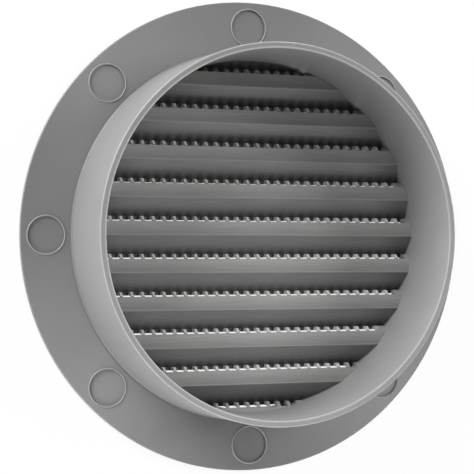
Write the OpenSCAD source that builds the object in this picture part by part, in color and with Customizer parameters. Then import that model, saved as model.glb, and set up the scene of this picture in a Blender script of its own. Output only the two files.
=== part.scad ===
/* [Spigot] */

// outside diameter of the spigot that enters the duct
spigot_d = 150; // [120:1:200]

// length of the spigot above the back of the flange
spigot_len = 38; // [26:0.5:60]

// wall of the spigot at its free rim
rim_wall = 2.5; // [2:0.1:3.4]

// wall of the spigot where it leaves the flange (the bore tapers for mould draft)
root_wall = 3.3; // [2.6:0.1:4.4]

// rounding of the two edges of the rim
rim_r = 0.4; // [0.2:0.05:0.7]

// fillet between the spigot and the back of the flange
root_fillet = 1.0; // [0.4:0.1:2]

/* [Flange] */

// width of the flat ring outside the spigot
flange_w = 21; // [19:0.5:32]

// thickness of the flange
flange_t = 2.4; // [2:0.1:3.4]

// rounding of the visible front edge of the flange
front_edge_r = 1.6; // [0.6:0.1:1.8]

// rounding of the back edge of the flange
back_edge_r = 0.5; // [0.2:0.1:0.7]

// step by which the front opening is smaller than the bore, on the radius
aperture_step = 0.7; // [0.4:0.1:3]

/* [Ejector marks] */

// number of round marks in the back of the flange
mark_count = 8; // [4:1:12]

// diameter of one mark
mark_d = 15.6; // [8:0.2:16]

// depth of one mark
mark_depth = 0.4; // [0.2:0.1:0.7]

/* [Louvre blades] */

// distance from one blade to the next
blade_pitch = 15.1; // [13:0.1:18]

// thickness of the folded blade
blade_t = 1.8; // [1.4:0.1:2.2]

// height of the upright part at the back of each blade
upstand_h = 5.6; // [4.5:0.1:6.5]

// amount the foot of the upright part stands further back than its top
upstand_lean = 0.9; // [0:0.1:1.4]

// height of the upstand tops above the back of the flange
upstand_z = 5.6; // [4.6:0.1:7]

// distance of the front blade edges behind the back of the flange plate
front_recess = 0.2; // [0.1:0.1:1]

// clear height between a blade and the upstand below it, seen along the axis
sight_gap = 0.42; // [0.3:0.02:1.2]

// height of one upstand top above the axis; the other rows follow from it
row_offset = 5.7; // [4:0.1:8]

/* [Comb bars] */

// distance from one comb bar to the next
comb_pitch = 4.5; // [4:0.1:6]

// width of a comb bar
comb_bar = 1.1; // [0.8:0.1:1.6]

// height of the bars above the upstand top
comb_rise = 1.9; // [1.5:0.1:2.3]

// least plain length between the last slot and the wall
comb_end = 1.0; // [0.8:0.1:6]

/* [Hidden] */

// outside radius, bore radius at the rim and at the flange
r_out = spigot_d / 2;
r_rim = r_out - rim_wall;
r_root = r_out - root_wall;

// flange radius, front opening radius and circle of the marks
r_flange = r_out + flange_w;
r_open = r_root - aperture_step;
r_marks = r_out + flange_w / 2;

// rounding of the front edge, no more than the flange has room for
front_r = min(front_edge_r, flange_t - back_edge_r - 0.1);

// overall height; the front face of the flange lies at zero
top = flange_t + spigot_len;

// blade section: height axis first, depth axis second, origin at an upstand top
z_top = flange_t + upstand_z;
z_fold = z_top + upstand_lean;
z_low = flange_t + front_recess;
y_fold = -upstand_h;
y_low = sight_gap - blade_pitch;

// lengths of the upright and of the sloping part, and how fast each one leans
u_len = norm([upstand_h, upstand_lean]);
s_len = norm([y_fold - y_low, z_fold - z_low]);
slope = (y_fold - y_low) / (z_fold - z_low);
lean = upstand_lean / upstand_h;

// blade thickness measured up the sloping part and through the upright part
edge_h = blade_t * s_len / (z_fold - z_low);
top_z = blade_t * u_len / upstand_h;

// inner fold: where the two offset lines meet
inner_y = (y_low + edge_h + slope * (z_top - top_z - z_low)) / (1 + slope * lean);
inner_z = z_top - top_z - lean * inner_y;

blade_pts = [
    [0, z_top], [0, z_top - top_z], [inner_y, inner_z],
    [y_low + edge_h, z_low], [y_low, z_low], [y_fold, z_fold]
];

// comb section: rises from the upstand top and runs forward into the blade above;
// depth of its upright part, of its end face and of its root in the upstand
strut = 1.3;
nose = 0.6;
comb_root = 0.4;
bar_z = z_low + (comb_rise - sight_gap) / slope;
comb_pts = [
    [0, z_top], [comb_rise, z_top - comb_rise], [comb_rise, bar_z - nose],
    [sight_gap, z_low + front_recess / 2],
    [sight_gap, z_top - strut - sight_gap], [0, z_top - strut],
    [-comb_root, z_top - strut], [-comb_root, z_top - comb_root / 2]
];

// how far the blade ends run into the wall of the spigot
wall_bite = 0.8;

// rows of blades that reach into the bore, counted from the one near the axis
row_lo = -floor((r_root - 1 + row_offset) / blade_pitch);
row_hi = floor((r_root - 1 - row_offset - y_low) / blade_pitch);
function row_y(i) = row_offset + i * blade_pitch;

// half length of the bore at a height, half length of a comb row at its longer edge,
// and slots that fit each side of the middle
function half(y) = sqrt(max(0, r_root * r_root - y * y));
function comb_half(y) = max(half(y), half(y + comb_rise));
slot_w = comb_pitch - comb_bar;
function slots(y) = floor((comb_half(y) - comb_end - slot_w / 2) / comb_pitch);

module bar_along_x(x0, len, pts) {
    translate([x0, 0, 0]) rotate([90, 0, 90]) linear_extrude(len) polygon(pts);
}

// section of the ring parts, turned round the axis
module ring_section() {
    difference() {
        union() {
            // flange plate with rounded outer edges
            polygon([
                [r_open, 0], [r_flange - front_r, 0], [r_flange - front_r, front_r],
                [r_flange, front_r], [r_flange, flange_t - back_edge_r],
                [r_flange - back_edge_r, flange_t - back_edge_r],
                [r_flange - back_edge_r, flange_t], [r_open, flange_t]
            ]);
            intersection() {
                translate([r_flange - front_r, front_r]) circle(front_r, $fn = 32);
                translate([r_flange - front_r, 0]) square(front_r);
            }
            translate([r_flange - back_edge_r, flange_t - back_edge_r])
                circle(back_edge_r, $fn = 24);
            // spigot wall, thinner towards the rim
            polygon([
                [r_root, flange_t - 0.5], [r_out, flange_t - 0.5],
                [r_out, top - rim_r], [r_out - rim_r, top - rim_r],
                [r_out - rim_r, top], [r_rim + rim_r, top],
                [r_rim + rim_r, top - rim_r], [r_rim, top - rim_r], [r_root, flange_t]
            ]);
            translate([r_out - rim_r, top - rim_r]) circle(rim_r, $fn = 24);
            translate([r_rim + rim_r, top - rim_r]) circle(rim_r, $fn = 24);
            // block for the fillet at the foot of the spigot
            translate([r_out - 0.5, flange_t - 0.5])
                square([root_fillet + 0.5, root_fillet + 0.5]);
        }
        translate([r_out + root_fillet, flange_t + root_fillet])
            circle(root_fillet, $fn = 32);
    }
}

// keeps what lies inside the spigot and runs a little way into its wall
module in_bore(y) {
    intersection() {
        children();
        translate([0, -y, flange_t / 2])
            cylinder(h = spigot_len, r = r_root + wall_bite, $fn = 144);
    }
}

// one blade, folded once, from wall to wall
module blade(y) {
    translate([0, y, 0]) in_bore(y) bar_along_x(-r_out, 2 * r_out, blade_pts);
}

// one row of comb bars; near the wall the row is closed
module comb_row(y) {
    n = slots(y);
    edge = n * comb_pitch + slot_w / 2;
    translate([0, y, 0]) {
        if (n < 0) in_bore(y) bar_along_x(-r_out, 2 * r_out, comb_pts);
        else for (side = [0, 1]) mirror([side, 0, 0])
            in_bore(y) bar_along_x(edge, r_out - edge, comb_pts);
        if (n > 0) for (k = [-n : n - 1])
            bar_along_x(k * comb_pitch + slot_w / 2, comb_bar, comb_pts);
    }
}

// one moulding: flange, spigot, blades and comb bars, less the shallow ejector marks
module vent_body() {
    color([0.52, 0.53, 0.53])
    difference() {
        union() {
            rotate_extrude($fn = 144) ring_section();
            for (i = [row_lo : row_hi]) blade(row_y(i));
            for (i = [row_lo : row_hi]) if (row_y(i) < r_open) comb_row(row_y(i));
        }
        for (a = [0 : mark_count - 1]) rotate([0, 0, a * 360 / mark_count])
            translate([r_marks, 0, flange_t - mark_depth])
                cylinder(h = mark_depth + 1, d = mark_d, $fn = 48);
    }
}

vent_body();
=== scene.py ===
import math

import bmesh
import bpy
from mathutils import Matrix, Vector


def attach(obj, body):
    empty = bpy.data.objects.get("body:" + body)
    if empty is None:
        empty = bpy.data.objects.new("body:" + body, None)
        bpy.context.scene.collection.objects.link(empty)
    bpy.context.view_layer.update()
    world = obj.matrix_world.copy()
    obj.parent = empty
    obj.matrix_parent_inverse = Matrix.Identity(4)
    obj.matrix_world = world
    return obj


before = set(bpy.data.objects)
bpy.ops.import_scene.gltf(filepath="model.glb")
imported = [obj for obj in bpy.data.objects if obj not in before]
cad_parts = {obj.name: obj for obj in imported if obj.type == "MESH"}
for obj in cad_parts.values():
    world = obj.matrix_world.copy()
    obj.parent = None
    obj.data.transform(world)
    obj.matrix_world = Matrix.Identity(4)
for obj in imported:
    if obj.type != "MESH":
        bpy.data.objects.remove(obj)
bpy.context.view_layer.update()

# The vent body: flange, spigot, louvre blades and comb bars in one injection moulding.
# It is ABS, coloured through in a middle grey. The tool's faces were fine spark eroded,
# so the skin is satin with an even, very fine grain, and its edges are crisp.
MM = 0.001
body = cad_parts["vent_body"]


def linear(hex_colour):
    """sRGB hex text to a linear RGBA colour."""
    channels = [int(hex_colour[i:i + 2], 16) / 255 for i in (1, 3, 5)]
    curve = [c / 12.92 if c <= 0.04045 else ((c + 0.055) / 1.055) ** 2.4 for c in channels]
    return (*curve, 1.0)


def add(tree, kind, inputs=(), **settings):
    """Adds a node, sets its settings, and sets or links its inputs."""
    made = tree.nodes.new(kind)
    for name, value in settings.items():
        setattr(made, name, value)
    for name, value in dict(inputs).items():
        if isinstance(value, bpy.types.NodeSocket):
            tree.links.new(value, made.inputs[name])
        else:
            made.inputs[name].default_value = value
    return made


# Moulded ABS, eroded finish: a soft sheen with no mirror image. The tone drifts by a few
# percent where the melt flowed, and the grain of the tool breaks up the highlights. The
# flange's back is a little darker, with painted light and shade on it, darkest at its top
# and bottom. Painted highlights make the edges, the thin comb bars and the tops of the
# upright parts paler. Painted shade darkens the deep ends of the louvre, in line with
# the slots, and the corners where the blades meet the wall.

# the rows: heights across the vent, from one blade top to the next
row_pitch = 15.1 * MM
row_start = 5.7 * MM
upstand_h = 5.6 * MM
fold_z = 8.9 * MM
fold_reach = 0.55 * MM
fold_share = 0.35

# the comb bars, and the strip between their roots
comb_pitch = 4.5 * MM
bar_low = 0.3 * MM
bar_high = 2.1 * MM
lit_strip_step = 0.4 * MM
bars_end = 69.0 * MM
bars_full = 66.5 * MM
lit_side_shift = 0.55 * MM
side_edge = -0.1
side_least = 0.15

# the painted shade and light: heights above the flange's front, and radii
groove_low = 2.6 * MM
groove_high = 7.4 * MM
streak_high = 6.3 * MM
slot_edge = 0.8
shade_rise_from = 55 * MM
shade_rise_high = 1.1 * MM
corner_from = 54 * MM
corner_share = 0.5
light_pool_at = (-8 * MM, -18 * MM, 0)
light_pool_reach = 60 * MM
light_pool_core = 12 * MM
light_pool_share = 0.16
bore_shade_from = -10 * MM
bore_shade_full = 65 * MM

# how far a face is turned to the duct, and off the slopes
duct_side = 0.3
slope_side = -0.3

# the round parts: radii, heights, and edges as radius and height
bore_r = 71.5 * MM
rim_bore_r = 72.6 * MM
wall_from = 74.3 * MM
spigot_r = 75.0 * MM
flange_top = 2.6 * MM
bead_low = 2.45 * MM
bead_from = 77.0 * MM
rim_outer_edge = (75.0 * MM, 40.4 * MM)
rim_inner_edge = (72.5 * MM, 40.4 * MM)
rim_reach = 0.75 * MM
pale_from = -10 * MM
fillet_at = (75.4 * MM, 2.8 * MM)
fillet_reach = 1.2 * MM

# the flange's back: the spots of painted light, and its colour's shares at the middle and the sides
light_spot_at = (62 * MM, 62 * MM, 0)
light_spot_reach = 66 * MM
flange_mid_r = 85 * MM
back_share = 0.886
low_side_share = 0.41
high_side_share = -0.07

# Melt flow drifts over about 24 mm. The eroded grain is about 0.15 mm and the drag lines
# are about 0.2 mm wide, too fine to show, so both are drawn as coarse as they need to show.
flow_mm = 24.0
grain_mm = 0.8
drag_mm = 0.7
drag_stretch = 0.04
noise_low = 0.35
noise_high = 0.65
grain_share = 0.4
drift_share = 0.05
drag_share = 0.06
grain_depth = 0.02 * MM

moulded_abs = bpy.data.materials.new("moulded ABS")
moulded_abs.use_nodes = True
tree = moulded_abs.node_tree
tree.nodes.clear()
place = add(tree, "ShaderNodeTexCoord")
point = add(tree, "ShaderNodeSeparateXYZ", {"Vector": place.outputs["Object"]})
facing = add(tree, "ShaderNodeSeparateXYZ", {"Vector": place.outputs["Normal"]})
flat = add(tree, "ShaderNodeVectorMath", {
    0: place.outputs["Object"], 1: (1, 1, 0)}, operation="MULTIPLY")
radius = add(tree, "ShaderNodeVectorMath", {0: flat.outputs["Vector"]}, operation="LENGTH")
inside = add(tree, "ShaderNodeMath", {0: radius.outputs["Value"], 1: bore_r}, operation="LESS_THAN")

# height above the nearest blade top below, which repeats from row to row
shifted = add(tree, "ShaderNodeMath", {0: point.outputs["Y"], 1: row_start}, operation="SUBTRACT")
above = add(tree, "ShaderNodeMath", {
    0: shifted.outputs["Value"], 1: row_pitch}, operation="FLOORED_MODULO")

# 1 at the deep end of a groove, 0 at the fold, on faces turned to the duct: painted shade. It
# reaches higher in the upper half.
shade_rise = add(tree, "ShaderNodeMapRange", {
    "Value": point.outputs["Y"], "From Max": shade_rise_from, "To Max": shade_rise_high})
shade_height = add(tree, "ShaderNodeMath", {
    0: point.outputs["Z"], 1: shade_rise.outputs["Result"]}, operation="SUBTRACT")
depth = add(tree, "ShaderNodeMapRange", {
    "Value": shade_height.outputs["Value"], "From Min": groove_high, "From Max": groove_low},
    interpolation_type="SMOOTHSTEP")
turned_in = add(tree, "ShaderNodeMath", {
    0: facing.outputs["Z"], 1: duct_side}, operation="GREATER_THAN")
groove = add(tree, "ShaderNodeMath", {
    0: depth.outputs["Result"], 1: inside.outputs["Value"]}, operation="MULTIPLY")
groove = add(tree, "ShaderNodeMath", {
    0: groove.outputs["Value"], 1: turned_in.outputs["Value"]}, operation="MULTIPLY")

# at the very end of a groove, painted shade that is 1 in line with a slot and 0 behind a bar
along = add(tree, "ShaderNodeMath", {
    0: point.outputs["X"], 1: 2 * math.pi / comb_pitch}, operation="MULTIPLY")
slots = add(tree, "ShaderNodeMath", {0: along.outputs["Value"]}, operation="COSINE")
in_line = add(tree, "ShaderNodeMapRange", {
    "Value": slots.outputs["Value"], "From Min": -1.0, "From Max": slot_edge})
streak = add(tree, "ShaderNodeMapRange", {
    "Value": shade_height.outputs["Value"], "From Min": streak_high, "From Max": groove_low},
    interpolation_type="SMOOTHSTEP")
streak = add(tree, "ShaderNodeMath", {
    0: streak.outputs["Result"], 1: in_line.outputs["Result"]}, operation="MULTIPLY")
streak = add(tree, "ShaderNodeMath", {
    0: streak.outputs["Value"], 1: groove.outputs["Value"]}, operation="MULTIPLY")

# 1 on the slopes of the blades, which get painted light, and in the corners where they run into the
# wall, which get painted shade
off_slope = add(tree, "ShaderNodeMath", {
    0: facing.outputs["Y"], 1: slope_side}, operation="GREATER_THAN")
slope = add(tree, "ShaderNodeMath", {
    0: inside.outputs["Value"], 1: off_slope.outputs["Value"]}, operation="SUBTRACT")
corner = add(tree, "ShaderNodeMapRange", {
    "Value": radius.outputs["Value"], "From Min": corner_from, "From Max": bore_r,
    "To Max": corner_share}, interpolation_type="SMOOTHSTEP")
corner = add(tree, "ShaderNodeMath", {
    0: corner.outputs["Result"], 1: slope.outputs["Value"]}, operation="MULTIPLY")

# 1 on the comb bars, which get a painted highlight
over = add(tree, "ShaderNodeMath", {
    0: above.outputs["Value"], 1: bar_low}, operation="GREATER_THAN")
under = add(tree, "ShaderNodeMath", {
    0: above.outputs["Value"], 1: bar_high}, operation="LESS_THAN")
comb = add(tree, "ShaderNodeMath", {
    0: over.outputs["Value"], 1: under.outputs["Value"]}, operation="MULTIPLY")
barred = add(tree, "ShaderNodeMapRange", {
    "Value": radius.outputs["Value"], "From Min": bars_end, "From Max": bars_full})
comb = add(tree, "ShaderNodeMath", {
    0: comb.outputs["Value"], 1: barred.outputs["Result"]}, operation="MULTIPLY")
bars = add(tree, "ShaderNodeMath", {
    0: comb.outputs["Value"], 1: off_slope.outputs["Value"]}, operation="MULTIPLY")

# on the strip of blade between the bars' roots, a painted highlight, 1 at the slot
# and 0 at the bars' height; it is paler at one side of each slot than at the other
lit_strip = add(tree, "ShaderNodeMapRange", {
    "Value": above.outputs["Value"], "From Min": bar_high, "From Max": bar_low + lit_strip_step})
lit_strip = add(tree, "ShaderNodeMath", {
    0: lit_strip.outputs["Result"], 1: comb.outputs["Value"]}, operation="MULTIPLY")
one_side = add(tree, "ShaderNodeMath", {
    0: along.outputs["Value"], 1: 2 * math.pi * lit_side_shift / comb_pitch}, operation="ADD")
one_side = add(tree, "ShaderNodeMath", {0: one_side.outputs["Value"]}, operation="COSINE")
one_side = add(tree, "ShaderNodeMapRange", {
    "Value": one_side.outputs["Value"], "From Min": -1.0, "From Max": side_edge,
    "To Min": side_least})
lit_strip = add(tree, "ShaderNodeMath", {
    0: lit_strip.outputs["Value"], 1: one_side.outputs["Result"]}, operation="MULTIPLY")

# 1 on the upright parts, and 1 at the top of one, 0 at its fold: painted light, darker at the foot
# and paler at the top
upright = add(tree, "ShaderNodeMath", {
    0: above.outputs["Value"], 1: row_pitch - upstand_h}, operation="GREATER_THAN")
upright = add(tree, "ShaderNodeMath", {
    0: upright.outputs["Value"], 1: inside.outputs["Value"]}, operation="MULTIPLY")
crest = add(tree, "ShaderNodeMapRange", {
    "Value": above.outputs["Value"], "From Min": row_pitch - upstand_h, "From Max": row_pitch},
    interpolation_type="SMOOTHSTEP")
crest = add(tree, "ShaderNodeMath", {
    0: crest.outputs["Result"], 1: inside.outputs["Value"]}, operation="MULTIPLY")

# the sections of which the rim's edges, the fillet and the folds are points
ring_section = add(tree, "ShaderNodeCombineXYZ", {
    "X": radius.outputs["Value"], "Y": point.outputs["Z"]})
blade_section = add(tree, "ShaderNodeCombineXYZ", {
    "X": above.outputs["Value"], "Y": point.outputs["Z"]})


def near_edge(section, edge, reach):
    """1 close to an edge that is a point of this section, 0 from reach on."""
    away = add(tree, "ShaderNodeVectorMath", {
        0: section.outputs["Vector"], 1: (*edge, 0)}, operation="DISTANCE")
    near = add(tree, "ShaderNodeMapRange", {
        "Value": away.outputs["Value"], "From Min": reach, "From Max": reach / 2})
    return near.outputs["Result"]


# painted highlights on the rim's outer and inner edges
outer_edge = near_edge(ring_section, rim_outer_edge, rim_reach)
inner_edge = near_edge(ring_section, rim_inner_edge, rim_reach)
# painted shade in the fillet where the wall meets the flange
fillet = near_edge(ring_section, fillet_at, fillet_reach)
# a painted highlight along the folds of the blades
folds = add(tree, "ShaderNodeMath", {
    0: near_edge(blade_section, (row_pitch - upstand_h, fold_z), fold_reach),
    1: inside.outputs["Value"]}, operation="MULTIPLY")
folds = add(tree, "ShaderNodeMath", {
    0: folds.outputs["Value"], 1: fold_share}, operation="MULTIPLY")

# 1 on the flange
outside = add(tree, "ShaderNodeMath", {
    0: radius.outputs["Value"], 1: spigot_r}, operation="GREATER_THAN")
low = add(tree, "ShaderNodeMath", {0: point.outputs["Z"], 1: flange_top}, operation="LESS_THAN")
flange = add(tree, "ShaderNodeMath", {
    0: outside.outputs["Value"], 1: low.outputs["Value"]}, operation="MULTIPLY")

# 1 on the outside of the spigot, and on its bore
wall = add(tree, "ShaderNodeMath", {
    0: radius.outputs["Value"], 1: wall_from}, operation="GREATER_THAN")
wall = add(tree, "ShaderNodeMath", {
    0: wall.outputs["Value"], 1: flange.outputs["Value"]}, operation="SUBTRACT")
bore = add(tree, "ShaderNodeMath", {
    0: radius.outputs["Value"], 1: rim_bore_r}, operation="LESS_THAN")
bore = add(tree, "ShaderNodeMath", {
    0: bore.outputs["Value"], 1: inside.outputs["Value"]}, operation="SUBTRACT")

# 1 on the thin beads in the flange's marks, but not on the wall and its fillet
beads = add(tree, "ShaderNodeMath", {
    0: point.outputs["Z"], 1: bead_low}, operation="GREATER_THAN")
clear_of_wall = add(tree, "ShaderNodeMath", {
    0: radius.outputs["Value"], 1: bead_from}, operation="GREATER_THAN")
beads = add(tree, "ShaderNodeMath", {
    0: beads.outputs["Value"], 1: clear_of_wall.outputs["Value"]}, operation="MULTIPLY")

# the drift of the tone over the whole moulding, and its grain
flow = add(tree, "ShaderNodeTexNoise", {
    "Vector": place.outputs["Object"], "Scale": 1 / (flow_mm * MM), "Detail": 3.0})
grain = add(tree, "ShaderNodeTexNoise", {
    "Vector": place.outputs["Object"], "Scale": 1 / (grain_mm * MM), "Detail": 2.0})
drift = add(tree, "ShaderNodeMix", {
    0: grain_share, 2: flow.outputs["Fac"], 3: grain.outputs["Fac"]})
drift = add(tree, "ShaderNodeMapRange", {
    "Value": drift.outputs[0], "From Min": noise_low, "From Max": noise_high,
    "To Min": 1 - drift_share, "To Max": 1 + drift_share})

# the flange's back gets painted light and shade: palest near four spots, and it drifts:
# palest low at the sides, darkest at top and bottom
quarter = add(tree, "ShaderNodeVectorMath", {0: flat.outputs["Vector"]}, operation="ABSOLUTE")
from_light_spot = add(tree, "ShaderNodeVectorMath", {
    0: quarter.outputs["Vector"], 1: light_spot_at}, operation="DISTANCE")
light_spot_share = add(tree, "ShaderNodeMapRange", {
    "Value": from_light_spot.outputs["Value"], "From Max": light_spot_reach})
back = add(tree, "ShaderNodeValToRGB", {"Fac": light_spot_share.outputs["Result"]})
back.color_ramp.elements[0].color = linear("#898989")
back.color_ramp.elements[1].color = linear("#767676")
sideways = add(tree, "ShaderNodeSeparateXYZ", {"Vector": quarter.outputs["Vector"]})
sideways = add(tree, "ShaderNodeMath", {
    0: sideways.outputs["X"], 1: 1 / flange_mid_r}, operation="MULTIPLY")
lower = add(tree, "ShaderNodeMapRange", {
    "Value": point.outputs["Y"], "From Min": -flange_mid_r, "From Max": flange_mid_r,
    "To Min": low_side_share, "To Max": high_side_share})
cast = add(tree, "ShaderNodeMath", {
    0: sideways.outputs["Value"], 1: lower.outputs["Result"], 2: back_share},
    operation="MULTIPLY_ADD")
back = add(tree, "ShaderNodeVectorMath", {
    0: back.outputs["Color"], 1: cast.outputs["Value"]}, operation="MULTIPLY")

# the louvre is paler towards its middle, a painted pool of light, and has faint
# streaks along the blades, where they slid off the tool
from_light_pool = add(tree, "ShaderNodeVectorMath", {
    0: flat.outputs["Vector"], 1: light_pool_at}, operation="DISTANCE")
light_pool = add(tree, "ShaderNodeMapRange", {
    "Value": from_light_pool.outputs["Value"], "From Min": light_pool_reach, "From Max": light_pool_core,
    "To Max": light_pool_share}, interpolation_type="SMOOTHSTEP")
lines = add(tree, "ShaderNodeVectorMath", {
    0: place.outputs["Object"], 1: (drag_stretch, 1, 1)}, operation="MULTIPLY")
drag = add(tree, "ShaderNodeTexNoise", {
    "Vector": lines.outputs["Vector"], "Scale": 1 / (drag_mm * MM), "Detail": 2.0})
drag = add(tree, "ShaderNodeMapRange", {
    "Value": drag.outputs["Fac"], "From Min": noise_low, "From Max": noise_high,
    "To Min": -drag_share, "To Max": drag_share})
light_pool_and_drag = add(tree, "ShaderNodeMath", {
    0: light_pool.outputs["Result"], 1: drag.outputs["Result"]}, operation="ADD")
light_pool_and_drag = add(tree, "ShaderNodeMath", {
    0: light_pool_and_drag.outputs["Value"], 1: inside.outputs["Value"], 2: 1.0}, operation="MULTIPLY_ADD")


def drifting(hex_colour, across, low, high, share_low, share_high):
    """A colour that changes across the vent, from one share of it to another."""
    strength = add(tree, "ShaderNodeMapRange", {
        "Value": across, "From Min": low, "From Max": high,
        "To Min": share_low, "To Max": share_high})
    colour = add(tree, "ShaderNodeVectorMath", {
        0: linear(hex_colour)[:3], 1: strength.outputs["Result"]}, operation="MULTIPLY")
    return colour.outputs["Vector"]


def paint(under_colour, mask, colour):
    """Lays a colour over another one by a mask."""
    mixed_colour = add(tree, "ShaderNodeMix", {
        0: mask, 6: under_colour, 7: colour}, data_type="RGBA")
    return mixed_colour.outputs[2]


# painted light makes the rim paler at its lower side, and painted shade darkens the upper half of
# the bore
rim_face = drifting("#878787", point.outputs["Y"], -spigot_r, spigot_r, 1.22, 0.88)
rim_outside = drifting("#999999", point.outputs["Y"], -spigot_r, pale_from, 1.25, 1.0)
rim_inside = drifting("#ACACAC", point.outputs["X"], -spigot_r, spigot_r, 1.08, 0.84)
shaded_bore = drifting("#8F8F8F", point.outputs["Y"], bore_shade_from, bore_shade_full, 1.0, 0.70)

# the coats, from the plain faces to the thin edges, most of them painted light and shade
# the flange's back with its painted light and shade
shade = paint(rim_face, flange.outputs["Value"], back.outputs["Vector"])
shade = paint(shade, wall.outputs["Value"], linear("#808080"))
shade = paint(shade, bore.outputs["Value"], shaded_bore)
# painted light: the uprights darker at the foot and paler at the top, and the slopes paler
shade = paint(shade, upright.outputs["Value"], linear("#828281"))
shade = paint(shade, crest.outputs["Value"], linear("#9B9A99"))
shade = paint(shade, slope.outputs["Value"], linear("#8D8D8D"))
# painted shade: the deep ends of the grooves, the corners at the wall, and streaks at the slots
shade = paint(shade, groove.outputs["Value"], linear("#434342"))
shade = paint(shade, corner.outputs["Value"], linear("#343434"))
shade = paint(shade, streak.outputs["Value"], linear("#1C1C1C"))
# painted light: the louvre paler towards its middle, with the faint drag streaks
shade = add(tree, "ShaderNodeVectorMath", {
    0: shade, 1: light_pool_and_drag.outputs["Value"]}, operation="MULTIPLY")
# painted highlights: the strip at the slots, the comb bars and the folds
shade = paint(shade.outputs["Vector"], lit_strip.outputs["Value"], linear("#A9A9A9"))
shade = paint(shade, bars.outputs["Value"], linear("#CBCBCA"))
shade = paint(shade, folds.outputs["Value"], linear("#A8A8A7"))
# painted shade in the fillet, and painted highlights on the rim's edges
shade = paint(shade, fillet, linear("#717171"))
shade = paint(shade, outer_edge, rim_outside)
shade = paint(shade, inner_edge, rim_inside)
shade = paint(shade, beads.outputs["Value"], linear("#8E8E8E"))
shade = add(tree, "ShaderNodeVectorMath", {
    0: shade, 1: drift.outputs["Result"]}, operation="MULTIPLY")
sheen = add(tree, "ShaderNodeMapRange", {
    "Value": grain.outputs["Fac"], "To Min": 0.42, "To Max": 0.55})
skin = add(tree, "ShaderNodeBump", {
    "Height": grain.outputs["Fac"], "Strength": 0.25, "Distance": grain_depth})
plastic = add(tree, "ShaderNodeBsdfPrincipled", {
    "Base Color": shade.outputs["Vector"], "Roughness": sheen.outputs["Result"],
    "IOR": 1.53, "Normal": skin.outputs["Normal"]})
add(tree, "ShaderNodeOutputMaterial", {"Surface": plastic.outputs["BSDF"]})
body.data.materials.clear()
body.data.materials.append(moulded_abs)

# Witness rings: a thin bead of flash just inside the edge of each ejector mark, where the
# melt crept into the gap between the pin and the tool. It is part of the same moulding, and
# it is coloured a little paler than the flange.
flange_back_z = 2.4 * MM
mark_count = 8
marks_r = 85.5 * MM
mark_r = 7.8 * MM
bead_r = 0.30 * MM
bead_bite = 0.1 * MM


def bead_ring(name, angle):
    """One bead on the flange's back, in the mark at this angle."""
    mesh = bmesh.new()
    middle = Vector((marks_r * math.cos(angle), marks_r * math.sin(angle), flange_back_z))
    around, across = 72, 10
    rounds = []
    for i in range(around):
        turn = 2 * math.pi * i / around
        out = Vector((math.cos(turn), math.sin(turn), 0))
        points = []
        for j in range(across):
            swing = 2 * math.pi * j / across
            reach = mark_r + bead_bite + bead_r * (math.cos(swing) - 1)
            rise = Vector((0, 0, bead_r * math.sin(swing)))
            points.append(mesh.verts.new(middle + out * reach + rise))
        rounds.append(points)
    for i in range(around):
        this, after = rounds[i], rounds[(i + 1) % around]
        for j in range(across):
            k = (j + 1) % across
            mesh.faces.new((this[j], after[j], after[k], this[k])).smooth = True
    bmesh.ops.recalc_face_normals(mesh, faces=mesh.faces)
    data = bpy.data.meshes.new(name)
    mesh.to_mesh(data)
    mesh.free()
    ring = bpy.data.objects.new(name, data)
    bpy.context.scene.collection.objects.link(ring)
    data.materials.append(moulded_abs)
    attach(ring, "root")


for count in range(mark_count):
    bead_ring(f"witness_ring_{count + 1}", count * 2 * math.pi / mark_count)

# The floor: a plain white studio sheet that the vent lies on, face down. It is uncoated
# matt paper with a faint cloudy look of fibre and no shine. Fibre clumps are about 1 mm,
# drawn 2.5 mm so that they show. The camera sees it near white, with the vent's shadow.
half = 3.0
floor_z = -0.2 * MM
fibre_mm = 2.5
floor_mesh = bpy.data.meshes.new("floor")
floor_mesh.from_pydata([(-half, -half, 0), (half, -half, 0), (half, half, 0), (-half, half, 0)],
                       [], [(0, 1, 2, 3)])
floor = bpy.data.objects.new("floor", floor_mesh)
floor.location.z = floor_z
bpy.context.scene.collection.objects.link(floor)
paper = bpy.data.materials.new("matt paper")
paper.use_nodes = True
tree = paper.node_tree
tree.nodes.clear()
fibre = add(tree, "ShaderNodeTexNoise", {"Scale": 1 / (fibre_mm * MM), "Detail": 2.0})
pale = add(tree, "ShaderNodeMapRange", {
    "Value": fibre.outputs["Fac"], "To Min": 0.89, "To Max": 0.91})
matt = add(tree, "ShaderNodeBsdfDiffuse", {"Color": linear("#FAFAFA")})
glow = add(tree, "ShaderNodeEmission", {"Color": (1, 1, 1, 1), "Strength": 1.0})
ray = add(tree, "ShaderNodeLightPath")
seen = add(tree, "ShaderNodeMath", {
    0: ray.outputs["Is Camera Ray"], 1: ray.outputs["Is Glossy Ray"]}, operation="MAXIMUM")
seen = add(tree, "ShaderNodeMath", {
    0: seen.outputs["Value"], 1: ray.outputs["Is Transmission Ray"]}, operation="MAXIMUM")
share = add(tree, "ShaderNodeMath", {
    0: seen.outputs["Value"], 1: pale.outputs["Result"]}, operation="MULTIPLY")
mixed = add(tree, "ShaderNodeMixShader", {0: share.outputs["Value"]})
tree.links.new(matt.outputs["BSDF"], mixed.inputs[1])
tree.links.new(glow.outputs["Emission"], mixed.inputs[2])
add(tree, "ShaderNodeOutputMaterial", {"Surface": mixed.outputs["Shader"]})
floor_mesh.materials.append(paper)

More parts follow.
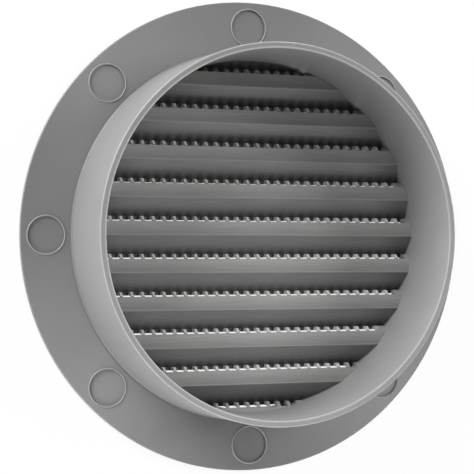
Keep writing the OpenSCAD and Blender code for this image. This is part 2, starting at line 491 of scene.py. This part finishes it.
# The light: a low even room light, large soft lamps at the upper left and at the right, so
# that the wall of the spigot shades the upper blades and its left outside is the lightest
# face, and two small lamps close by for the lower side. The camera sees none of them.
room = bpy.data.worlds.new("room")
bpy.context.scene.world = room
room.use_nodes = True
tree = room.node_tree
tree.nodes.clear()
air = add(tree, "ShaderNodeBackground", {"Color": (1, 1, 1, 1), "Strength": 0.32})
add(tree, "ShaderNodeOutputWorld", {"Surface": air.outputs["Background"]})


def soft_lamp(name, turn, height, power, size=0.9, away=1.6):
    """A square soft lamp that faces the vent, at this turn and height in degrees."""
    lamp = bpy.data.lights.new(name, "AREA")
    lamp.shape = "SQUARE"
    lamp.size = size
    lamp.energy = power
    held = bpy.data.objects.new(name, lamp)
    turn, height = math.radians(turn), math.radians(height)
    held.location = away * Vector((
        math.cos(height) * math.cos(turn), math.cos(height) * math.sin(turn), math.sin(height)))
    held.rotation_euler = held.location.to_track_quat("Z", "Y").to_euler()
    held.visible_camera = False
    bpy.context.scene.collection.objects.link(held)


soft_lamp("lamp_upper_left_low", 135, 8, 16.7)
soft_lamp("lamp_upper_left_high", 135, 18, 26.8)
soft_lamp("lamp_right", 20, 28, 18.3)
soft_lamp("lamp_lower_left", 240, 8, 2.8, size=0.3, away=0.55)
soft_lamp("lamp_lower_right", 300, 8, 1.1, size=0.3, away=0.55)

# The camera: a long lens in front of the spigot, moved to the left, so that the outside of
# the spigot shows on the left and its inside on the right.
camera_at = Vector((-247.8, -12.1, 612.6)) * MM
aim_at = Vector((-5.24, -0.50, 2.40)) * MM
camera_roll = math.radians(-0.112)
eye = bpy.data.cameras.new("camera")
eye.sensor_width = 36.0
eye.lens = 121.87
eye.clip_start = 0.02
camera = bpy.data.objects.new("camera", eye)
forward = (aim_at - camera_at).normalized()
right = forward.cross(Vector((0, 1, 0))).normalized()
up = right.cross(forward)
side = right * math.cos(camera_roll) + up * math.sin(camera_roll)
top = up * math.cos(camera_roll) - right * math.sin(camera_roll)
turned = Matrix((side, top, -forward)).transposed().to_4x4()
camera.matrix_world = Matrix.Translation(camera_at) @ turned
bpy.context.scene.collection.objects.link(camera)
bpy.context.scene.camera = camera

bpy.context.scene.view_settings.view_transform = "Standard"
